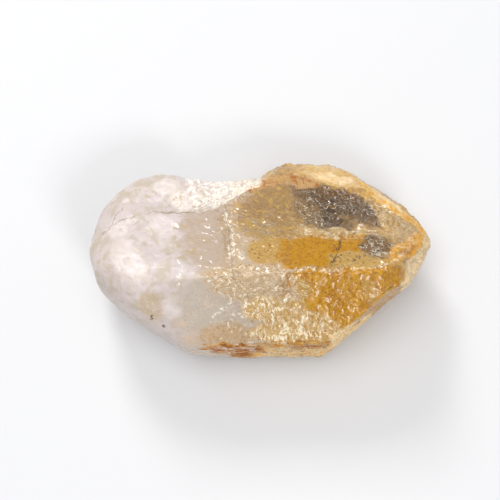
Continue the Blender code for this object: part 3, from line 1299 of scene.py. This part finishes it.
@dataclass
class QuartzBody:
    """The stone's visible body: the solid's shape with its broken and worn skin.

    Lengths without another unit are in millimetres.

    Args:
        source: the solid that it follows.
        cuts: how many times each edge of the solid is cut.
        worn_to: how far along X the worn end reaches.
        worn_over: how long the change from worn to sharp is.
        worn_lap: how far past that its lumps and pits fade out.
        base: below this height the skin isn't smoothed.
        held: below this height it isn't roughened either.
        sharp: an edge with a wider angle than this, in degrees, is chipped.
        crease: an edge with a wider angle than this, in degrees, is shaded sharp.
        tooth: the lumps all over the skin.
        lumps: the lumps of the worn end.
        chip: how deep the chips along the edges are.
        nick: how deep the small nicks in them are.
        chip_reach: how far from an edge a chip reaches.
        chip_width: how far from it a chip has lost most of its depth.
        pit: how deep the worn end's pits are.
        flake: how deep the broken flakes of the clear end are.
        flakes: how many of them the noise's range has.
        ridge_y: where the long ridge runs along Y.
        ledge: how far the facet in front of the ridge lies back.
        ledge_ends: where along X that step starts and ends.
        ledge_lip: how far behind the ridge it starts.
        ledge_drop: how far along Y it takes to reach its depth.
        ledge_foot: where along Y it has faded out.
        ledge_fade: how long it takes to fade.
        front_from: in front of this Y lie the needles and folds, and behind it ripples and frost.
        needles: where the needles lie.
        needle: how high they are.
        crumple: where the foot is crumpled.
        fold: how high its folds are.
        window: where the smoky window lies.
        ripple: how high its ripples are.
        ripple_middle: the point along X and Y that they run round.
        ripple_turn: how far one millimetre outwards turns a ripple, in radians.
        ripple_bend: how far noise bends it, in radians.
        notch: where the frosted notch lies.
        frost: how high its frost is.
        edge_points: points along the solid's sharp edges, found as it is built.
    """

    source: bpy.types.Object
    cuts: int = 3
    worn_to: float = -8.0
    worn_over: float = 6.0
    worn_lap: float = 2.0
    base: float = 0.3
    held: float = 0.05
    sharp: float = 16.0
    crease: float = 38.0
    tooth: tuple[Lumps, ...] = (Lumps(1.1, 0.03), Lumps(3.1, 0.018))
    lumps: tuple[Lumps, ...] = (Lumps(0.28, 0.22), Lumps(0.9, 0.07))
    chip: float = 0.55
    nick: float = 0.35
    chip_reach: float = 1.6
    chip_width: float = 0.7
    pit: float = 0.35
    flake: float = 0.13
    flakes: float = 5.0
    ridge_y: float = -4.75
    ledge: float = 0.22
    ledge_ends: tuple[float, float] = (4.5, 23.0)
    ledge_lip: float = 0.4
    ledge_drop: float = 0.5
    ledge_foot: float = -11.0
    ledge_fade: float = 5.0
    front_from: float = -4.0
    needles: Dome = Dome(0.0, -9.6, 8.0, 6.0)
    needle: float = 0.20
    crumple: Dome = Dome(4.0, -14.6, 10.0, 3.4)
    fold: float = 0.85
    window: Dome = Dome(13.0, 8.0, 10.0, 6.5)
    ripple: float = 0.045
    ripple_middle: Point = (2.0, 16.0)
    ripple_turn: float = 4.2
    ripple_bend: float = 5.0
    notch: Dome = Dome(-6.5, 13.0, 7.5, 5.0)
    frost: float = 0.28
    edge_points: list[Vector] = field(default_factory=list)

    def build(self) -> bpy.types.Object:
        """Makes the body.

        Returns:
            The body's object.
        """
        bm = bmesh.new()
        bm.from_mesh(self.source.data)
        bmesh.ops.remove_doubles(bm, verts=bm.verts[:], dist=0.002 * MM)
        bmesh.ops.recalc_face_normals(bm, faces=bm.faces[:])
        self._find_edges(bm)
        bmesh.ops.subdivide_edges(bm, edges=bm.edges[:], cuts=self.cuts, use_grid_fill=True)
        bmesh.ops.triangulate(bm, faces=bm.faces[:])
        self._soften(bm)
        self._roughen(bm)
        mesh = bpy.data.meshes.new("quartz_body")
        bm.to_mesh(mesh)
        bm.free()
        mesh.shade_smooth()
        mesh.set_sharp_from_angle(angle=math.radians(self.crease))
        body = bpy.data.objects.new("quartz_body", mesh)
        bpy.context.scene.collection.objects.link(body)
        return body

    def _find_edges(self, bm: bmesh.types.BMesh) -> None:
        """Notes points along the solid's sharp edges, away from its worn end.

        Args:
            bm: the body's mesh.
        """
        for edge in bm.edges:
            if edge.is_manifold and edge.calc_face_angle() > math.radians(self.sharp):
                start, end = (vert.co.copy() for vert in edge.verts)
                if start.x > self.worn_to * MM:
                    self.edge_points += [start, start.lerp(end, 0.33), start.lerp(end, 0.67)]

    def _smooth(self, bm: bmesh.types.BMesh, end: float, factor: float) -> None:
        """Smooths the skin over its base, up to an end along X.

        Args:
            bm: the body's mesh.
            end: how far along X.
            factor: how strongly.
        """
        skin = [v for v in bm.verts if v.co.x < end * MM and v.co.z > self.base * MM]
        bmesh.ops.smooth_vert(
            bm, verts=skin, factor=factor, use_axis_x=True, use_axis_y=True, use_axis_z=True
        )

    def _soften(self, bm: bmesh.types.BMesh) -> None:
        """Smooths the facets of the worn end away, and then the whole skin a little.

        Args:
            bm: the body's mesh.
        """
        for step in range(8):
            self._smooth(bm, self.worn_to - step, 0.5)
        self._smooth(bm, FAR, 0.4)

    def _roughen(self, bm: bmesh.types.BMesh) -> None:
        """Gives the skin its chips, ripples, streaks and pits, no further out than it reaches.

        Args:
            bm: the body's mesh.
        """
        tree = KDTree(len(self.edge_points))
        for index, point in enumerate(self.edge_points):
            tree.insert(point, index)
        tree.balance()
        bm.normal_update()
        low, high = (Vector(pick(v.co[axis] for v in bm.verts) for axis in range(3)) for pick in (min, max))
        moved = []
        for vert in bm.verts:
            if vert.co.z < self.held * MM:
                continue
            _, _, gap = tree.find(vert.co)
            moved.append((vert, vert.co + vert.normal * self._height(vert.co / MM, gap / MM) * MM))
        for vert, place in moved:
            vert.co = [min(max(place[axis], low[axis]), high[axis]) for axis in range(3)]

    def _height(self, place: Vector, gap: float) -> float:
        """How far the skin stands out at a place.

        Args:
            place: the place.
            gap: how far it is from a sharp edge.

        Returns:
            The height, which is below 0 where the skin lies back.
        """
        worn = share(self.worn_to + self.worn_lap - place.x, self.worn_over)
        height = sum(lumps.rise(place) for lumps in self.tooth)
        height += self._worn_skin(place) * worn + self._sharp_skin(place, gap) * (1.0 - worn)
        front = place.y < self.front_from
        return height - self._step(place) + (self._front(place) if front else self._back(place))

    def _worn_skin(self, place: Vector) -> float:
        """The lumps and pits of the worn end at a place, as a height."""
        pits = max(0.0, noise.noise(place * 0.8 + Vector(PITS_AT)) - 0.25)
        return sum(lumps.rise(place) for lumps in self.lumps) - pits * self.pit

    def _sharp_skin(self, place: Vector, gap: float) -> float:
        """The flakes and chips of the sharp end.

        Args:
            place: the place.
            gap: how far it is from a sharp edge.

        Returns:
            The height, 0 or below.
        """
        slope = Vector((place.x * 0.30 + place.y * 0.12, place.y * 0.45, place.z * 0.4))
        level = noise.noise(slope) * self.flakes
        height = -(level - math.floor(level)) * self.flake
        if gap < self.chip_reach:
            near = math.exp(-((gap / self.chip_width) ** 2))
            bite = max(0.0, noise.noise(place * 0.75 + Vector(CHIPS_AT)) + 0.25)
            nick = max(0.0, noise.noise(place * 2.2))
            height -= near * (bite * self.chip + nick * self.nick)
        return height

    def _step(self, place: Vector) -> float:
        """How far the facet in front of the ridge lies back at a place.

        Args:
            place: the place.

        Returns:
            The depth.
        """
        start, end = self.ledge_ends
        if not start < place.x < end:
            return 0.0
        below_ridge = share(self.ridge_y + self.ledge_lip - place.y, self.ledge_drop)
        return self.ledge * below_ridge * share(place.y - self.ledge_foot, self.ledge_fade)

    def _front(self, place: Vector) -> float:
        """The needles and folds in front of the ridge.

        Args:
            place: the place.

        Returns:
            The height.
        """
        x, y, z = place
        streak = Vector((x * 0.5 + y * 0.4, y * 1.6 - x * 1.3, z * 0.8))
        fold = Vector((x * 1.7, y * 0.6, z * 0.6))
        height = self.needles.rise(x, y) * noise.noise(streak * 1.2) * self.needle
        return height + self.crumple.rise(x, y) * (abs(noise.noise(fold)) - 0.4) * self.fold

    def _back(self, place: Vector) -> float:
        """The ripples and frost behind the ridge.

        Args:
            place: the place.

        Returns:
            The height.
        """
        x, y, z = place
        ring = math.hypot(x - self.ripple_middle[0], y - self.ripple_middle[1])
        wave = math.sin(ring * self.ripple_turn + noise.noise(place * 0.5) * self.ripple_bend)
        frost = Vector((x * 1.9 + y * 0.8, y * 0.7, z * 0.8))
        height = self.window.rise(x, y) * wave * self.ripple
        return height + self.notch.rise(x, y) * noise.noise(frost) * self.frost

    def dress(self, finish: QuartzFinish) -> None:
        """Gives the body its finish and its place in the table.

        Args:
            finish: the finish.
        """
        body = bpy.data.objects["quartz_body"]
        body.data.materials.append(finish.material())
        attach(body, "root")
        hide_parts("quartz_point")


@dataclass(frozen=True)
class Lamp:
    """One square soft light that faces the stone.

    Args:
        name: its name.
        place: where it hangs, in metres.
        power: its power in watts.
        size: its side in metres.
    """

    name: str
    place: Triple
    power: float
    size: float

    def hang(self) -> None:
        """Makes the light."""
        lamp = bpy.data.lights.new(self.name, "AREA")
        lamp.energy = self.power
        lamp.size = self.size
        holder = bpy.data.objects.new(self.name, lamp)
        holder.location = self.place
        holder.rotation_euler = (-Vector(self.place)).to_track_quat("-Z", "Y").to_euler()
        bpy.context.scene.collection.objects.link(holder)


@dataclass
class Studio:
    """The pale floor, the soft lights and the camera.

    Args:
        floor_half: the floor's half width in metres.
        sky: the room's colour.
        sky_light: how bright the room is.
        lamps: its lights.
        lens: the camera's lens in millimetres.
        distance: how far the camera is from what it looks at, in metres.
        aim: the point it looks at, in metres.
        elevation: how far it looks down, in degrees.
    """

    floor_half: float = 3.0
    sky: Colour = (0.97, 0.98, 1.0)
    sky_light: float = 0.50
    lamps: tuple[Lamp, ...] = (
        Lamp("key", (-0.16, 0.42, 0.34), 1.5, 0.14),
        Lamp("top", (-0.10, 0.05, 0.60), 1.5, 0.35),
        Lamp("fill", (0.20, -0.40, 0.38), 1.1, 0.16),
    )
    lens: float = 122.8
    distance: float = 0.30
    aim: Triple = (-0.00185, 0.00104, 0.010)
    elevation: float = 80.0

    def build(self) -> None:
        """Makes all of the studio."""
        self._floor()
        self._world()
        for lamp in self.lamps:
            lamp.hang()
        self._camera()

    def _floor(self) -> None:
        """Lays the floor under the stone."""
        bm = bmesh.new()
        bmesh.ops.create_grid(bm, x_segments=8, y_segments=8, size=self.floor_half)
        mesh = bpy.data.meshes.new("floor")
        bm.to_mesh(mesh)
        bm.free()
        mesh.materials.append(FloorFinish().material())
        floor = bpy.data.objects.new("floor", mesh)
        bpy.context.scene.collection.objects.link(floor)

    def _world(self) -> None:
        """Fills the room with even pale light."""
        world = bpy.data.worlds.new("room")
        world.use_nodes = True
        sky = world.node_tree.nodes["Background"]
        sky.inputs["Color"].default_value = (*self.sky, 1.0)
        sky.inputs["Strength"].default_value = self.sky_light
        bpy.context.scene.world = world

    def _camera(self) -> None:
        """Sets the camera over the stone, a little to its front."""
        lean = math.radians(self.elevation)
        back = Vector((0.0, -math.cos(lean), math.sin(lean)))
        lens = bpy.data.cameras.new("camera")
        lens.lens = self.lens
        camera = bpy.data.objects.new("camera", lens)
        camera.location = Vector(self.aim) + back * self.distance
        camera.rotation_euler = (-back).to_track_quat("-Z", "Y").to_euler()
        bpy.context.scene.collection.objects.link(camera)
        bpy.context.scene.camera = camera
        bpy.context.scene.view_settings.view_transform = "Standard"


def main() -> None:
    """Builds the stone and its studio, and reports each piece."""
    logging.basicConfig(level=logging.INFO, format="%(name)s: %(message)s")
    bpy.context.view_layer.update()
    body = QuartzBody(frame["nodes"]["quartz_point"])
    made = body.build()
    body.dress(QuartzFinish())
    LOG.info("body: %d faces", len(made.data.polygons))
    Studio().build()
    LOG.info("studio: floor, lights and camera")
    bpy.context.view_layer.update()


if __name__ == "__main__":
    main()
